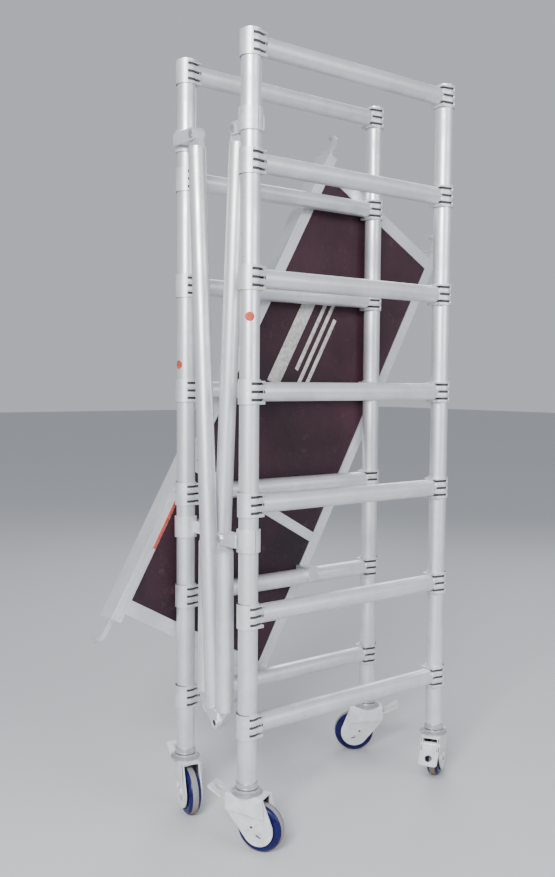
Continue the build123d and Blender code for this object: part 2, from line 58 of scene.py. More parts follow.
# %% [markdown]
# Helpers keep each material short. Every one starts from a Principled shader and reads Object coordinates:
# metres on the piece itself, so a scratch stays where it is when the piece moves, and its scale can be
# checked with a ruler. `noise` gives a pattern, `ramp` colours it, `speckled` lays dirt over a colour and
# `bump` turns a pattern into fine relief.

# %% Material helpers
def new_material(name, metallic, roughness, colour):
    """A material with its nodes, its links and its Principled shader, all plain numbers set."""
    material = bpy.data.materials.new(name)
    material.use_nodes = True
    nodes, links = material.node_tree.nodes, material.node_tree.links
    shader = nodes["Principled BSDF"]
    shader.inputs["Metallic"].default_value = metallic
    shader.inputs["Roughness"].default_value = roughness
    shader.inputs["Base Color"].default_value = (*colour, 1)
    return material, nodes, links, shader


def coordinates(nodes, links, stretch=(1, 1, 1)):
    """Object coordinates, stretched so that a pattern can run along one axis."""
    source = nodes.new("ShaderNodeTexCoord")
    mapping = nodes.new("ShaderNodeMapping")
    mapping.inputs["Scale"].default_value = stretch
    links.new(source.outputs["Object"], mapping.inputs["Vector"])
    return mapping.outputs["Vector"]


def noise(nodes, links, vector, scale, detail=4.0, rough=0.5):
    """The value of a noise texture, between nought and one."""
    texture = nodes.new("ShaderNodeTexNoise")
    texture.inputs["Scale"].default_value = scale
    texture.inputs["Detail"].default_value = detail
    texture.inputs["Roughness"].default_value = rough
    links.new(vector, texture.inputs["Vector"])
    return texture.outputs["Fac"]


def ramp(nodes, links, value, low, high, first, last):
    """A colour that goes from first to last while the value goes from low to high."""
    node = nodes.new("ShaderNodeValToRGB")
    node.color_ramp.elements[0].position = low
    node.color_ramp.elements[1].position = high
    node.color_ramp.elements[0].color = (*first, 1)
    node.color_ramp.elements[1].color = (*last, 1)
    links.new(value, node.inputs["Fac"])
    return node.outputs["Color"]


def mix(nodes, links, factor, first, second, how="MIX"):
    """Two colours mixed by a factor, which may be a socket or a number."""
    node = nodes.new("ShaderNodeMix")
    node.data_type = "RGBA"
    node.blend_type = how
    for value, socket in ((factor, node.inputs[0]), (first, node.inputs[6]), (second, node.inputs[7])):
        if isinstance(value, bpy.types.NodeSocket):
            links.new(value, socket)
        else:
            socket.default_value = value
    return node.outputs[2]


def speckled(nodes, links, base, value, low, high, most, colour):
    """A colour with specks of another over it, where a pattern rises from low to high."""
    amount = ramp(nodes, links, value, low, high, (0, 0, 0), (most, most, most))
    return mix(nodes, links, amount, base, (*colour, 1))


def remap(nodes, links, value, low, high, to_low, to_high):
    """A value moved from one range to another, for roughness."""
    node = nodes.new("ShaderNodeMapRange")
    numbers = (low, high, to_low, to_high)
    for name, number in zip(("From Min", "From Max", "To Min", "To Max"), numbers):
        node.inputs[name].default_value = number
    links.new(value, node.inputs["Value"])
    return node.outputs["Result"]


def bump(nodes, links, shader, height, distance, strength=1.0):
    """Fine relief; distance is its real depth in metres. A second call adds to the first."""
    node = nodes.new("ShaderNodeBump")
    node.inputs["Distance"].default_value = distance
    node.inputs["Strength"].default_value = strength
    links.new(height, node.inputs["Height"])
    if shader.inputs["Normal"].is_linked:
        links.new(shader.inputs["Normal"].links[0].from_socket, node.inputs["Normal"])
    links.new(node.outputs["Normal"], shader.inputs["Normal"])


print("material helpers ready")

# %% [markdown]
# Aluminium tube is drawn through a die, which leaves hairlines along it. After years of hire it is dull,
# bright where hands and clamps rub it, and grey in blotches where it has been rained on. The same recipe
# serves tubes that run up and tubes that run across: only the axis of the hairlines changes.

# %% Drawn aluminium tube
BRIGHT = (0.86, 0.87, 0.89)
DULL = (0.70, 0.715, 0.74)
GRIME = (0.42, 0.41, 0.40)
HAIRLINE_STRETCH = 0.012


def drawn_tube(name, along, hairline=420.0):
    """Satin drawn aluminium with hairlines along one axis."""
    material, nodes, links, shader = new_material(name, 0.72, 0.42, BRIGHT)
    stretch = [1.0, 1.0, 1.0]
    stretch["XYZ".index(along)] = HAIRLINE_STRETCH
    lines = noise(nodes, links, coordinates(nodes, links, stretch), hairline, 3.0)
    plain = coordinates(nodes, links)
    blotch = noise(nodes, links, plain, 9.0, 6.0, 0.62)
    spots = noise(nodes, links, plain, 85.0, 5.0, 0.7)
    base = ramp(nodes, links, blotch, 0.36, 0.60, DULL, BRIGHT)
    base = speckled(nodes, links, base, spots, 0.64, 0.78, 0.55, GRIME)
    fine = ramp(nodes, links, lines, 0.25, 0.75, (0.88, 0.88, 0.89), (1, 1, 1))
    links.new(mix(nodes, links, 1.0, base, fine, "MULTIPLY"), shader.inputs["Base Color"])
    links.new(remap(nodes, links, blotch, 0.3, 0.7, 0.52, 0.34), shader.inputs["Roughness"])
    bump(nodes, links, shader, lines, 0.00012, 0.5)
    bump(nodes, links, shader, spots, 0.0001, 0.35)
    return material


upright_metal = drawn_tube("upright_tube", "Z")
brace_metal = drawn_tube("brace_tube", "Z", 380.0)
rung_metal = drawn_tube("rung_tube", "X", 300.0)
print("tubes:", upright_metal.name, brace_metal.name, rung_metal.name)

# %% [markdown]
# The collars and clamps are cast, then tumbled: a fine grain all over, a little greyer than the tubes and
# with dirt held in the pores. The braces' fittings and the claws are the same metal, rubbed brighter.

# %% Cast aluminium
def cast_alloy(name, light, dark, grain, roughness):
    """Tumbled casting: fine grain, pores that hold dirt and slow changes of tone."""
    material, nodes, links, shader = new_material(name, 0.66, roughness, light)
    plain = coordinates(nodes, links)
    tone = noise(nodes, links, plain, 24.0, 5.0, 0.6)
    pores = noise(nodes, links, plain, grain, 4.0, 0.65)
    base = ramp(nodes, links, tone, 0.34, 0.62, dark, light)
    base = speckled(nodes, links, base, pores, 0.58, 0.74, 0.6, GRIME)
    links.new(base, shader.inputs["Base Color"])
    dulled = remap(nodes, links, pores, 0.3, 0.7, roughness - 0.08, roughness + 0.14)
    links.new(dulled, shader.inputs["Roughness"])
    bump(nodes, links, shader, pores, 0.00025, 0.6)
    return material


collar_metal = cast_alloy("cast_collar", (0.80, 0.81, 0.83), (0.66, 0.67, 0.70), 520.0, 0.46)
fitting_metal = cast_alloy("brace_fitting", (0.78, 0.79, 0.81), (0.62, 0.63, 0.66), 700.0, 0.38)
claw_metal = cast_alloy("claw_casting", (0.76, 0.77, 0.79), (0.58, 0.59, 0.62), 600.0, 0.36)
print("castings:", collar_metal.name, fitting_metal.name, claw_metal.name)

# %% [markdown]
# The deck's profiles are extruded, brighter and flatter than tube. Its boards are plywood faced with dark
# phenolic film, almost black with a wine-red cast, pressed with a fine wire-mesh grip and scuffed paler
# where boots land. The mesh is two sets of waves across the deck's own slope, used as relief.

# %% Deck profile and board
DECK_SLOPE = math.radians(60.5)
GRIP_WAVES = 95.0


def extruded(name):
    """Mill-finish extrusion with die lines along the deck's slope."""
    material, nodes, links, shader = new_material(name, 0.70, 0.36, BRIGHT)
    source = coordinates(nodes, links)
    turn = nodes.new("ShaderNodeMapping")
    turn.inputs["Rotation"].default_value = (0, DECK_SLOPE, 0)
    turn.inputs["Scale"].default_value = (0.01, 1.0, 1.0)
    links.new(source, turn.inputs["Vector"])
    lines = noise(nodes, links, turn.outputs["Vector"], 360.0, 3.0)
    blotch = noise(nodes, links, source, 7.0, 6.0, 0.6)
    base = ramp(nodes, links, blotch, 0.36, 0.62, (0.74, 0.755, 0.78), (0.88, 0.89, 0.905))
    fine = ramp(nodes, links, lines, 0.25, 0.75, (0.90, 0.90, 0.91), (1, 1, 1))
    links.new(mix(nodes, links, 1.0, base, fine, "MULTIPLY"), shader.inputs["Base Color"])
    links.new(remap(nodes, links, blotch, 0.3, 0.7, 0.46, 0.30), shader.inputs["Roughness"])
    bump(nodes, links, shader, lines, 0.0001, 0.4)
    return material


def wave(nodes, links, vector, scale, axis):
    """The height of a set of sine waves across one axis."""
    texture = nodes.new("ShaderNodeTexWave")
    texture.bands_direction = axis
    texture.inputs["Scale"].default_value = scale
    links.new(vector, texture.inputs["Vector"])
    return texture.outputs["Fac"]


def film_faced_board(name):
    """Dark film-faced plywood with a wire-mesh grip, scuffs and dust."""
    material, nodes, links, shader = new_material(name, 0.0, 0.5, (0.05, 0.015, 0.022))
    shader.inputs["Specular IOR Level"].default_value = 0.35
    source = coordinates(nodes, links)
    turn = nodes.new("ShaderNodeMapping")
    turn.inputs["Rotation"].default_value = (0, DECK_SLOPE, 0)
    links.new(source, turn.inputs["Vector"])
    sloped = turn.outputs["Vector"]
    fade = noise(nodes, links, source, 2.2, 4.0, 0.55)
    scuff = noise(nodes, links, sloped, 30.0, 8.0, 0.7)
    dust = noise(nodes, links, source, 260.0, 3.0, 0.6)
    base = ramp(nodes, links, fade, 0.32, 0.68, (0.010, 0.004, 0.008), (0.058, 0.017, 0.030))
    base = speckled(nodes, links, base, scuff, 0.56, 0.80, 0.35, (0.16, 0.10, 0.10))
    base = speckled(nodes, links, base, dust, 0.60, 0.78, 0.22, (0.26, 0.22, 0.20))
    links.new(base, shader.inputs["Base Color"])
    links.new(remap(nodes, links, scuff, 0.3, 0.75, 0.42, 0.66), shader.inputs["Roughness"])
    for axis in "XZ":
        bump(nodes, links, shader, wave(nodes, links, sloped, GRIP_WAVES, axis), 0.0004, 0.6)
    return material


deck_metal = extruded("deck_profile")
board_film = film_faced_board("film_faced_board")
print("deck:", deck_metal.name, board_film.name)

# %% [markdown]
# The casters have pressed steel forks in pale grey paint, bright zinc bolts and stems, wheels with a dark
# blue core, and grey rubber treads. The tread is pale where it is clean and turns sandy brown low down,
# where grit from the floor sticks to it, so its colour follows the height on the piece.

# %% Caster finishes
def painted_steel(name, colour):
    """Sprayed paint: slight orange peel, slow changes of tone and small chips."""
    material, nodes, links, shader = new_material(name, 0.1, 0.36, colour)
    plain = coordinates(nodes, links)
    tone = noise(nodes, links, plain, 30.0, 5.0, 0.6)
    peel = noise(nodes, links, plain, 480.0, 2.0)
    chips = noise(nodes, links, plain, 140.0, 5.0, 0.75)
    dark = tuple(0.80 * part for part in colour)
    base = ramp(nodes, links, tone, 0.36, 0.64, dark, colour)
    base = speckled(nodes, links, base, chips, 0.69, 0.73, 1.0, (0.30, 0.29, 0.28))
    links.new(base, shader.inputs["Base Color"])
    links.new(remap(nodes, links, tone, 0.3, 0.7, 0.46, 0.30), shader.inputs["Roughness"])
    bump(nodes, links, shader, peel, 0.00012, 0.5)
    return material


def zinc_steel(name):
    """Bright zinc plate with a soft grey spangle."""
    material, nodes, links, shader = new_material(name, 0.9, 0.3, (0.62, 0.63, 0.65))
    plain = coordinates(nodes, links)
    spangle = noise(nodes, links, plain, 160.0, 3.0, 0.5)
    base = ramp(nodes, links, spangle, 0.30, 0.70, (0.56, 0.57, 0.59), (0.68, 0.69, 0.70))
    links.new(base, shader.inputs["Base Color"])
    links.new(remap(nodes, links, spangle, 0.3, 0.7, 0.42, 0.24), shader.inputs["Roughness"])
    bump(nodes, links, shader, spangle, 0.00008, 0.5)
    return material


def moulded_core(name):
    """Dark blue nylon with a faint mould grain."""
    material, nodes, links, shader = new_material(name, 0.0, 0.38, (0.006, 0.006, 0.07))
    shader.inputs["Coat Weight"].default_value = 0.06
    shader.inputs["Specular IOR Level"].default_value = 0.22
    plain = coordinates(nodes, links)
    tone = noise(nodes, links, plain, 45.0, 6.0, 0.6)
    grain = noise(nodes, links, plain, 900.0, 2.0)
    base = ramp(nodes, links, tone, 0.38, 0.68, (0.003, 0.003, 0.045), (0.008, 0.008, 0.105))
    links.new(base, shader.inputs["Base Color"])
    links.new(remap(nodes, links, tone, 0.3, 0.7, 0.20, 0.44), shader.inputs["Roughness"])
    bump(nodes, links, shader, grain, 0.0001, 0.4)
    return material


SANDY_HEIGHT = 0.07


def worn_tread(name):
    """Grey rubber that goes sandy brown towards the floor."""
    material, nodes, links, shader = new_material(name, 0.0, 0.68, (0.42, 0.42, 0.42))
    plain = coordinates(nodes, links)
    split = nodes.new("ShaderNodeSeparateXYZ")
    links.new(plain, split.inputs["Vector"])
    height = remap(nodes, links, split.outputs["Z"], 0.0, SANDY_HEIGHT, 1.0, 0.0)
    grit = noise(nodes, links, plain, 320.0, 5.0, 0.7)
    clean = ramp(nodes, links, grit, 0.35, 0.7, (0.17, 0.17, 0.18), (0.30, 0.30, 0.30))
    sandy = ramp(nodes, links, grit, 0.35, 0.7, (0.14, 0.09, 0.055), (0.30, 0.21, 0.13))
    links.new(mix(nodes, links, height, clean, sandy), shader.inputs["Base Color"])
    bump(nodes, links, shader, grit, 0.0004, 0.6)
    return material


fork_paint = painted_steel("fork_paint", (0.74, 0.75, 0.76))
zinc = zinc_steel("bright_zinc")
blue_core = moulded_core("blue_wheel_core")
tread_rubber = worn_tread("worn_tread")
print("casters:", fork_paint.name, zinc.name, blue_core.name, tread_rubber.name)

# %% [markdown]
# Each node of the frame already has a material slot in its record, so one table says which finish each slot
# gets. Axles and pedal pins are painted over with their forks, so they are the one exception. Nothing else
# about the frame's meshes is touched.

# %% Give every node its finish
finish_of = {
    "upright_tube": upright_metal, "brace_tube": brace_metal, "rung_tube": rung_metal,
    "cast_alloy": collar_metal, "brace_fitting": fitting_metal, "claw_alloy": claw_metal,
    "deck_profile": deck_metal, "phenolic_board": board_film, "rivet": board_film, "zinc_steel": zinc,
    "pressed_fork": fork_paint, "pedal": fork_paint, "wheel_core": blue_core, "tread": tread_rubber,
}
for name, node in frame["nodes"].items():
    painted = name.endswith("axle_and_pedal_pin")
    node.data.materials.clear()
    node.data.materials.append(fork_paint if painted else finish_of[slot_of[name]])
print(len(frame["nodes"]), "nodes finished")

# %% [markdown]
# The rest of the lesson adds pieces. They are drawn in millimetres, as on a workshop drawing, and scaled to
# metres when they are finished. `spun` turns a profile into a ring, `copies` repeats a shape, and `finished`
# names the piece, gives it its finish, and fixes it to the body that carries it.

# %% Shaping helpers
MM = 0.001
SHARP = math.radians(35)


def spun(profile, steps=48, start=0.0, angle=2 * math.pi):
    """A profile of (radius, height) points swept about Z; a full turn is merged where it closes."""
    mesh = bmesh.new()
    corners = [mesh.verts.new((radius, 0, height)) for radius, height in profile]
    face = mesh.faces.new(corners)
    bmesh.ops.rotate(mesh, cent=(0, 0, 0), matrix=Matrix.Rotation(start, 3, "Z"), verts=mesh.verts)
    full = abs(angle - 2 * math.pi) < 1e-6
    if full:
        edges = list(face.edges)
        bmesh.ops.delete(mesh, geom=[face], context="FACES_ONLY")
        sweep = corners + edges
    else:
        sweep = corners + list(face.edges) + [face]
    bmesh.ops.spin(mesh, geom=sweep, axis=(0, 0, 1), cent=(0, 0, 0), steps=steps, angle=angle, use_merge=full)
    bmesh.ops.remove_doubles(mesh, verts=mesh.verts, dist=0.001)
    bmesh.ops.recalc_face_normals(mesh, faces=mesh.faces)
    return mesh


def block(length, width, depth, rounding=0.0):
    """A block centred on the origin, with its edges rounded."""
    mesh = bmesh.new()
    bmesh.ops.create_cube(mesh, size=1.0)
    bmesh.ops.scale(mesh, vec=(length, width, depth), verts=mesh.verts)
    if rounding:
        bmesh.ops.bevel(mesh, geom=mesh.edges[:], offset=rounding, affect="EDGES", segments=2, profile=0.5,
                        material=-1)
    return mesh


def copies(shape, places):
    """One mesh with a copy of a shape at each place."""
    pattern = bpy.data.meshes.new("pattern")
    shape.to_mesh(pattern)
    whole = bmesh.new()
    for place in places:
        first = len(whole.verts)
        whole.from_mesh(pattern)
        whole.verts.ensure_lookup_table()
        bmesh.ops.transform(whole, matrix=place, verts=whole.verts[first:])
    bpy.data.meshes.remove(pattern)
    return whole


def joined(*shapes):
    """Several shapes in one mesh."""
    whole = bmesh.new()
    for shape in shapes:
        part = bpy.data.meshes.new("part")
        shape.to_mesh(part)
        whole.from_mesh(part)
        bpy.data.meshes.remove(part)
    return whole


def finished(mesh, name, finish, body, slot, *hidden):
    """The piece itself: in metres, shaded smooth between its sharp edges, riding on its body."""
    bmesh.ops.scale(mesh, vec=(MM, MM, MM), verts=mesh.verts)
    for face in mesh.faces:
        face.smooth = True
    for edge in mesh.edges:
        edge.smooth = edge.calc_face_angle(0.0) < SHARP
    data = bpy.data.meshes.new(name)
    mesh.to_mesh(data)
    mesh.free()
    data.materials.append(finish)
    piece = bpy.data.objects.new(name, data)
    bpy.context.scene.collection.objects.link(piece)
    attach(piece, body)
    if hidden:
        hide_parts(*hidden)
    return piece


def middle_of(node):
    """The middle of a node's box, in millimetres."""
    low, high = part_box(node)
    return (low + high) / 2 / MM


def turned(degrees, axis="Z"):
    """A turn about one axis."""
    return Matrix.Rotation(math.radians(degrees), 4, axis)


print("shaping helpers ready")

# %% [markdown]
# A rung collar is a casting in one piece: a sleeve round the upright that is drawn out sideways to take the
# rung. Slots run across the side that holds the rung, so what shows is a stack of four bands with dark gaps
# between them. Each band starts as two circles. The outer one is stretched towards the rung, the two are
# bridged into a flat ring, and the ring is extruded up. The sleeve's back is a plain wall, so it is a
# profile swept through part of a turn. A dark liner inside paints the shade in the gaps, so they read as gaps.

# %% Rung collars
UPRIGHT_R = 25.0
COLLAR_BORE = UPRIGHT_R + 0.1
COLLAR_R = 28.6
COLLAR_HALF = 31.0
COLLAR_MOUTH = 32.0
RUNG_R = 24.0
MOUTH_HALF_WIDTH = RUNG_R + 2.0
MOUTH_SPREAD = math.sin(math.radians(60))


def collar_band(low, high):
    """A ring round the upright that reaches out over the rung between two heights."""
    mesh = bmesh.new()
    bmesh.ops.create_circle(mesh, segments=40, radius=COLLAR_BORE)
    outer = bmesh.ops.create_circle(mesh, segments=40, radius=COLLAR_R)["verts"]
    for corner in outer:
        across = corner.co.y / COLLAR_R
        if corner.co.x > 0 and abs(across) < MOUTH_SPREAD:
            corner.co.x = COLLAR_MOUTH
            corner.co.y = MOUTH_HALF_WIDTH * across / MOUTH_SPREAD
    bmesh.ops.bridge_loops(mesh, edges=mesh.edges[:])
    raised = bmesh.ops.extrude_face_region(mesh, geom=mesh.faces[:])["geom"]
    upper = [part for part in raised if isinstance(part, bmesh.types.BMVert)]
    bmesh.ops.translate(mesh, vec=(0, 0, high - low), verts=upper)
    bmesh.ops.translate(mesh, vec=(0, 0, low), verts=mesh.verts)
    bmesh.ops.recalc_face_normals(mesh, faces=mesh.faces)
    rims = [edge for edge in mesh.edges if edge.calc_face_angle(0.0) > 1.2]
    bmesh.ops.bevel(mesh, geom=rims, offset=0.9, affect="EDGES", segments=2, profile=0.5, material=-1)
    return mesh


def painted_shade_finish(name):
    """Matt charcoal: painted shade for the inside of slots and holes."""
    material, nodes, links, shader = new_material(name, 0.0, 0.8, (0.03, 0.03, 0.035))
    # The noise only mottles the painted shade a little.
    shade_mottle = noise(nodes, links, coordinates(nodes, links), 300.0, 4.0, 0.6)
    base = ramp(nodes, links, shade_mottle, 0.3, 0.7, (0.018, 0.018, 0.022), (0.07, 0.068, 0.07))
    links.new(base, shader.inputs["Base Color"])
    bump(nodes, links, shader, shade_mottle, 0.0002, 0.5)
    return material


# Painted shade: one dark finish for the shaded inside of slots, holes, the fork and the pivots.
painted_shade_dark = painted_shade_finish("painted_shade_dark")
band_heights = ((-COLLAR_HALF, -23.2), (-16.8, -3.2), (3.2, 16.8), (23.2, 27.2))
TOP_RING_LOW = 27.5
LINER_GAP, LINER_SKIN = 0.05, 0.5


def wall(inner, outer, low, high):
    """The square profile of a tube's wall."""
    return [(inner, low), (outer, low), (outer, high), (inner, high)]


sleeve_back = spun(wall(COLLAR_BORE, COLLAR_R, -COLLAR_HALF, COLLAR_HALF), 24, math.radians(116),
                   math.radians(128))
top_ring = spun(wall(COLLAR_BORE, COLLAR_R - 0.3, TOP_RING_LOW, COLLAR_HALF))
collar = joined(sleeve_back, top_ring, *[collar_band(low, high) for low, high in band_heights])
# Thin dark sleeves inside the rung's mouth and the upright's bore are painted shade behind the slots.
rung_shade_liner = spun(wall(RUNG_R + LINER_GAP, RUNG_R + LINER_SKIN, 27, COLLAR_MOUTH - 1))
bmesh.ops.rotate(rung_shade_liner, cent=(0, 0, 0), matrix=Matrix.Rotation(math.radians(90), 3, "Y"),
                 verts=rung_shade_liner.verts)
upright_shade_liner = spun(wall(UPRIGHT_R + LINER_GAP, UPRIGHT_R + LINER_SKIN, -29, 27))
painted_shade_liner = joined(rung_shade_liner, upright_shade_liner)

# %% A collar at both ends of every rung
RUNG_COUNT = 7
for side in ("front", "rear"):
    low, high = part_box(f"{side}_rungs")
    lowest, highest = low.z / MM + RUNG_R, high.z / MM - RUNG_R
    places = []
    for hand, turn in (("left", 0), ("right", 180)):
        axis = middle_of(f"{side}_{hand}_upright")
        for count in range(RUNG_COUNT):
            height = lowest + (highest - lowest) * count / (RUNG_COUNT - 1)
            places.append(Matrix.Translation((axis.x, axis.y, height)) @ turned(turn))
    finished(copies(collar, places), f"{side}_slotted_collars", collar_metal, f"{side}_frame", "cast_alloy",
             f"{side}_rung_collars")
    # The dark liners paint the shade seen through the slots.
    finished(copies(painted_shade_liner, places), f"{side}_collar_shade_liners", painted_shade_dark, f"{side}_frame", "cast_alloy")
print(len(places), "collars on each frame")

# %% [markdown]
# A wheel shows a dark blue core that runs right out to the shoulders, and a narrow grey tread set into it.
# Both are profiles, because a wheel is turned or moulded round. Each is spun about Z, laid on its side, and
# carried to the axle of its roll joint. The hub is already in the frame.

# %% Wheels
CORNERS = ("front_left", "front_right", "rear_left", "rear_right")
WHEEL_R = 62.5
SHOULDER = 16.0


def stand_of(corner):
    """The swivel axis of a caster on the floor, turned so that X runs along its fork, and its trail."""
    swivel = Vector(joints[f"{corner}_swivel"]["pos_m"]) / MM
    axle = Vector(joints[f"{corner}_roll"]["pos_m"]) / MM
    heading = math.atan2(axle.y - swivel.y, axle.x - swivel.x)
    stand = Matrix.Translation((swivel.x, swivel.y, 0)) @ Matrix.Rotation(heading, 4, "Z")
    return stand, (axle - swivel).to_2d().length


shoulder_profile = [(46.2, -SHOULDER), (55.0, -SHOULDER), (59.5, -12.5), (60.8, -8.6), (57.8, -8.2),
                    (57.8, 8.2), (60.8, 8.6), (59.5, 12.5), (55.0, SHOULDER), (46.2, SHOULDER)]
tread_profile = [(57.0, -8.0), (61.2, -8.0), (62.2, -5.5), (WHEEL_R, 0), (62.2, 5.5), (61.2, 8.0),
                 (57.0, 8.0)]
lay_over = turned(90, "X")
for corner in CORNERS:
    stand, trail = stand_of(corner)
    at_axle = stand @ Matrix.Translation((trail, 0, WHEEL_R)) @ lay_over
    finished(copies(spun(shoulder_profile, 72), [at_axle]), f"{corner}_wheel_shoulders", blue_core,
             f"{corner}_wheel", "wheel_core", f"{corner}_wheel_tread")
    finished(copies(spun(tread_profile, 72), [at_axle]), f"{corner}_tread_band", tread_rubber,
             f"{corner}_wheel", "tread")
TRAIL = trail         # the same on all four
print("four wheels, trail", round(TRAIL, 1), "mm")

# %% [markdown]
# Over the wheel sits a pressed cap, wider than the cheeks below it. It is a rounded block with its bottom,
# front and back faces taken off and a wall given to what is left. Dark plates inside the fork paint its shade,
# the cheeks carry slots, dark with painted shade, and an ear for the brake, and above the cap is the swivel: a
# dished cover and a ring.

# %% Fork caps, swivel covers and slots
CAP_LOW, CAP_HIGH = 101.0, 143.4
CAP_BACK, CAP_FRONT = -48.0, 56.0
CAP_WIDTH, CAP_WALL = 57.0, 2.2
LIP_FORWARD, LIP_DOWN = 4, 10
CHEEK_FACE = 24.15
# Each slot: distance from the axle along the fork, height, length, width, tilt in degrees.
CHEEK_SLOTS = ((4, 45, 14, 3.4, 20), (-16, 66, 6.5, 5.5, 0), (-2, 52, 5, 4, 60))


def fork_cap():
    """The pressed cap, open below, in front and behind, with a lip that leans forward."""
    centre = ((CAP_BACK + CAP_FRONT) / 2, 0, (CAP_LOW + CAP_HIGH) / 2)
    mesh = block(CAP_FRONT - CAP_BACK, CAP_WIDTH, CAP_HIGH - CAP_LOW)
    bmesh.ops.translate(mesh, vec=centre, verts=mesh.verts)
    for corner in mesh.verts:
        if corner.co.x > 0 and corner.co.z < centre[2]:
            corner.co.x += LIP_FORWARD
            corner.co.z -= LIP_DOWN
    open_faces = [face for face in mesh.faces if face.normal.z < -0.7 or abs(face.normal.x) > 0.7]
    bmesh.ops.delete(mesh, geom=open_faces, context="FACES")
    folds = [edge for edge in mesh.edges if not edge.is_boundary]
    bmesh.ops.bevel(mesh, geom=folds, offset=4.0, affect="EDGES", segments=4, profile=0.5, material=-1)
    bmesh.ops.recalc_face_normals(mesh, faces=mesh.faces)
    bmesh.ops.solidify(mesh, geom=mesh.faces[:], thickness=CAP_WALL)
    bmesh.ops.recalc_face_normals(mesh, faces=mesh.faces)
    return mesh


def cheek_slots():
    """Two slots and a hole on each cheek, as thin dark inlays that paint the shade in them."""
    shapes = []
    for side in (-1, 1):
        for along, height, length, width, tilt in CHEEK_SLOTS:
            place = Matrix.Translation((TRAIL + along, side * CHEEK_FACE, height)) @ turned(tilt, "Y")
            shapes.append(copies(block(length, 0.5, width, 0.2), [place]))
    return joined(*shapes)


def brake_lug():
    """A rounded ear with a hole, low on the pedal side of both cheeks."""
    ring = spun(wall(3.6, 11.0, -1.5, 1.5), 36)
    sides = [Matrix.Translation((TRAIL - 36, side * 25.5, 66)) @ lay_over for side in (-1, 1)]
    return copies(ring, sides)


def fork_painted_shade():
    """Painted shade inside the fork: a dark plate and a ring by each cheek, and a strip under the crown."""
    shade_ring = spun(wall(26, 42, -0.3, 0.3), 48)
    shapes = [copies(block(34, 38, 0.6, 0.1), [Matrix.Translation((35, 0, 137.8))])]
    for side in (-1, 1):
        shapes.append(copies(block(74, 0.6, 44, 0.1), [Matrix.Translation((15, side * 19.9, 115))]))
        shapes.append(copies(shade_ring, [Matrix.Translation((TRAIL, side * 19.2, WHEEL_R)) @ lay_over]))
    return joined(*shapes)


# %% Fit them to the four casters
swivel_cover = spun([(26.5, 143.6), (40.0, 143.6), (40.5, 145.2), (37.0, 148.5), (32.0, 151.5), (31.2, 155.8),
                     (26.5, 155.8)], 64)
swivel_ring = spun([(22, 157.0), (27.4, 157.0), (28.4, 158.2), (28.4, 160.4), (27.4, 161.6), (22, 161.6)], 64)
caster_pieces = (
    ("fork_cap", fork_cap(), fork_paint, "pressed_fork"),
    ("swivel_cover", joined(swivel_cover, swivel_ring), zinc, "zinc_steel"),
    ("cheek_slots", cheek_slots(), painted_shade_dark, "pressed_fork"),
    ("brake_lugs", brake_lug(), fork_paint, "pressed_fork"),
    ("fork_guards", fork_painted_shade(), painted_shade_dark, "pressed_fork"),
)
for corner in CORNERS:
    stand = stand_of(corner)[0]
    for name, shape, finish, slot in caster_pieces:
        finished(copies(shape, [stand]), f"{corner}_{name}", finish, f"{corner}_caster", slot)
print(len(caster_pieces), "pieces on each of", len(CORNERS), "casters")

# %% [markdown]
# Each diagonal folds at a knuckle whose pivot shows as a round black eye. A shallow cup with a rolled rim
# stands on each side of the knuckle, in place of a plain bolt head. It is a profile spun about Z and laid
# along X, the direction of every pivot on the frame. A dark disc in the cup paints the shade of the pivot's
# hollow.

# %% Pivot eyes
EYE_R = 7.5
BOLT_HEAD = 5.0       # the rim stands where the plain bolt head did
eye_rim = spun([(EYE_R, 0), (10.5, 0), (10.5, 1.4), (9.8, 2.2), (8.2, 2.2), (EYE_R, 1.5)], 40)
eye_shade_disc = spun([(0, 0.1), (EYE_R + 0.1, 0.1), (EYE_R + 0.1, 0.9), (0, 0.9)], 40)


def both_ends(node):
    """Where a bolt's two ends are, each turned to look outwards along X."""
    low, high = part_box(node)
    centre = middle_of(node)
    ends = []
    for x, turn in ((low.x / MM + BOLT_HEAD, -90), (high.x / MM - BOLT_HEAD, 90)):
        ends.append(Matrix.Translation((x, centre.y, centre.z)) @ turned(turn, "Y"))
    return ends


for side, body in (("front", "front_long_brace"), ("rear", "rear_long_brace")):
    ends = both_ends(f"{side}_knuckle_bolt")
    finished(copies(eye_rim, ends), f"{side}_knuckle_eye_rims", fitting_metal, body, "brace_fitting",
             f"{side}_knuckle_bolt")
    # The dark discs are painted shade.
    finished(copies(eye_shade_disc, ends), f"{side}_knuckle_eye_shade", painted_shade_dark, body, "brace_fitting")
print("eyes on both knuckles")

# %% [markdown]
# The deck's rails are extrusions with grooves along their faces, drawn as darker strips of painted shade,
# and the board carries the faded remains of a painted panel, left blank here. They are drawn on the deck's
# own plane: X runs along the rails, Y across them towards the upper one, and Z out of the walking face. The plane
# is found from the two rails.

# %% Deck groove shade, panel and labels
upper_rail, lower_rail = middle_of("deck_upper_rail"), middle_of("deck_lower_rail")
deck_middle = (upper_rail + lower_rail) / 2
rail_gap = (upper_rail - lower_rail).length
deck_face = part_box("deck_upper_rail")[0].y / MM
slope_cos, slope_sin = math.cos(DECK_SLOPE), math.sin(DECK_SLOPE)
lean = Matrix(((slope_cos, -slope_sin, 0), (0, 0, -1), (slope_sin, slope_cos, 0)))
deck_plane = Matrix.Translation((deck_middle.x, deck_face, deck_middle.z)) @ lean.to_4x4()
GROOVE_LENGTH = 1514.0
PROUD = 0.1           # how far a groove or label stands out of the rails' face
BOARD_DEPTH = -1.9    # the board's face below it
PANEL_BARS = ((210, 120, 330, 46), (250, 62, 250, 13), (235, 34, 280, 13), (215, 6, 240, 13))


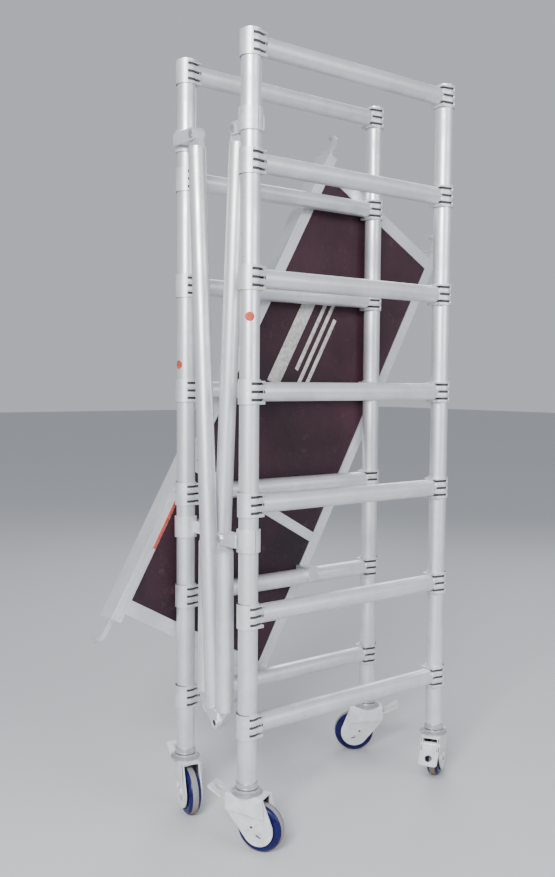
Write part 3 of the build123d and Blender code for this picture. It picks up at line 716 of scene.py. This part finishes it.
def on_deck(shape, x, y, out):
    """A shape laid on the deck's plane."""
    return copies(shape, [deck_plane @ Matrix.Translation((x, y, out))])


# Darker strips stand a fraction proud of each rail: painted shade for its grooves.
groove_shade_strips = [on_deck(block(GROOVE_LENGTH, 1.6, 0.5, 0.15), 0, side * (rail_gap / 2 + inset), PROUD)
           for side in (-1, 1) for inset in (-6.0, 9.0)]
finished(joined(*groove_shade_strips), "deck_rail_groove_shade", claw_metal, "deck", "deck_profile")
panel = [on_deck(block(length, width, 0.3, 0.1), x, y, BOARD_DEPTH) for x, y, length, width in PANEL_BARS]


def worn_print(name, colour):
    """Chalky screen paint, thin enough for the board to show through where it is worn."""
    material, nodes, links, shader = new_material(name, 0.0, 0.7, colour)
    wear = noise(nodes, links, coordinates(nodes, links), 90.0, 8.0, 0.75)
    worn = tuple(0.45 * part for part in colour)
    links.new(ramp(nodes, links, wear, 0.45, 0.68, colour, worn), shader.inputs["Base Color"])
    bump(nodes, links, shader, wear, 0.0001, 0.4)
    return material


board_print = worn_print("worn_print", (0.62, 0.60, 0.58))
label_red = worn_print("faded_label", (0.55, 0.07, 0.04))
finished(joined(*panel), "deck_painted_panel", board_print, "deck", "phenolic_board")
finished(on_deck(block(150, 9, 0.3, 0.1), -470, rail_gap / 2 - 12, PROUD), "deck_blank_label", label_red,
         "deck", "deck_profile")
print("deck details, rails", round(rail_gap), "mm apart")

# %% [markdown]
# Two blank round labels are wrapped on the left uprights. A label is a disc with a few inset rings, so that
# it has enough points to bend, and each point is then pushed back until it lies on the tube.

# %% Blank labels on the uprights
def round_label(radius):
    """A disc bent round the upright, facing X."""
    mesh = bmesh.new()
    bmesh.ops.create_circle(mesh, cap_ends=True, segments=32, radius=radius)
    for _ in range(3):
        widest = max(mesh.faces, key=lambda face: face.calc_area())
        bmesh.ops.inset_region(mesh, faces=[widest], thickness=radius / 4, use_boundary=True)
    bmesh.ops.solidify(mesh, geom=mesh.faces[:], thickness=0.2)
    bmesh.ops.rotate(mesh, cent=(0, 0, 0), matrix=Matrix.Rotation(math.radians(90), 3, "Y"), verts=mesh.verts)
    for corner in mesh.verts:
        corner.co.x += math.sqrt((UPRIGHT_R + 0.3) ** 2 - corner.co.y**2)
    bmesh.ops.recalc_face_normals(mesh, faces=mesh.faces)
    return mesh


LABEL_RADIUS = 11.5
for side, height, turn in (("front", 1340, -126), ("rear", 1225, -175)):
    node = f"{side}_left_upright"
    axis = middle_of(node)
    place = Matrix.Translation((axis.x, axis.y, height)) @ turned(turn)
    finished(copies(round_label(LABEL_RADIUS), [place]), f"{node}_blank_label", label_red, f"{side}_frame",
             "upright_tube")
print("two blank labels")

# %% [markdown]
# The set is a plain pale floor and a pale sky that lights everything softly. One large lamp stands to the
# camera's left, a weaker one to its right rounds the tubes, and a third behind lifts the far edges.

# %% Floor, sky and lamps
bpy.ops.mesh.primitive_plane_add(size=60)
floor = bpy.context.object
floor.name = "studio_floor"
floor.data.materials.append(new_material("studio_floor", 0.0, 0.9, (0.56, 0.57, 0.59))[0])

sky = bpy.data.worlds.new("studio_sky")
bpy.context.scene.world = sky
sky.use_nodes = True
sky.node_tree.nodes["Background"].inputs["Color"].default_value = (0.90, 0.94, 1.0, 1)
sky.node_tree.nodes["Background"].inputs["Strength"].default_value = 0.55


def lamp(name, place, aim, size, power):
    """A soft square lamp that points at a place."""
    data = bpy.data.lights.new(name, "AREA")
    data.size = size
    data.energy = power
    lamp_object = bpy.data.objects.new(name, data)
    bpy.context.scene.collection.objects.link(lamp_object)
    lamp_object.location = place
    lamp_object.rotation_euler = (Vector(aim) - Vector(place)).to_track_quat("-Z", "Y").to_euler()


MIDDLE = (0, 0, 1.0)
lamp("key_lamp", (-3.4, -2.6, 3.0), MIDDLE, 1.6, 330)
lamp("front_lamp", (0.9, -4.6, 2.4), MIDDLE, 2.4, 90)
lamp("back_lamp", (2.6, 2.6, 3.4), MIDDLE, 2.0, 60)
print("floor, sky and three lamps")

# %% [markdown]
# The camera stands a little below the middle of the frame, looking along the rungs from the braced corner.
# It is placed from the front left upright's axis at the height of the middle rung, by how far it stands off
# and how it is turned. The lens follows from the long side of the sensor.

# %% Camera
EYE_FROM_UPRIGHT = Vector((-1.393, -1.885, 0.028))
YAW, PITCH, ROLL = math.radians(38.19), math.radians(-3.49), math.radians(0.44)
FOCAL_OVER_LONG_SIDE = 1.0802
SENSOR_MM = 36.0

axis, rungs = middle_of("front_left_upright"), middle_of("front_rungs")
stand_point = Vector((axis.x, axis.y, rungs.z)) * MM
forward = Vector((math.sin(YAW) * math.cos(PITCH), math.cos(YAW) * math.cos(PITCH), math.sin(PITCH)))
right = forward.cross(Vector((0, 0, 1))).normalized()
right.rotate(Matrix.Rotation(-ROLL, 3, forward))
up = right.cross(forward)

camera_data = bpy.data.cameras.new("camera")
camera_data.sensor_width = SENSOR_MM
camera_data.lens = FOCAL_OVER_LONG_SIDE * camera_data.sensor_width
camera = bpy.data.objects.new("camera", camera_data)
bpy.context.scene.collection.objects.link(camera)
aim = Matrix((right, up, -forward)).transposed().to_4x4()
camera.matrix_world = Matrix.Translation(stand_point + EYE_FROM_UPRIGHT) @ aim
bpy.context.scene.camera = camera
print("camera at", [round(c, 3) for c in camera.matrix_world.translation])
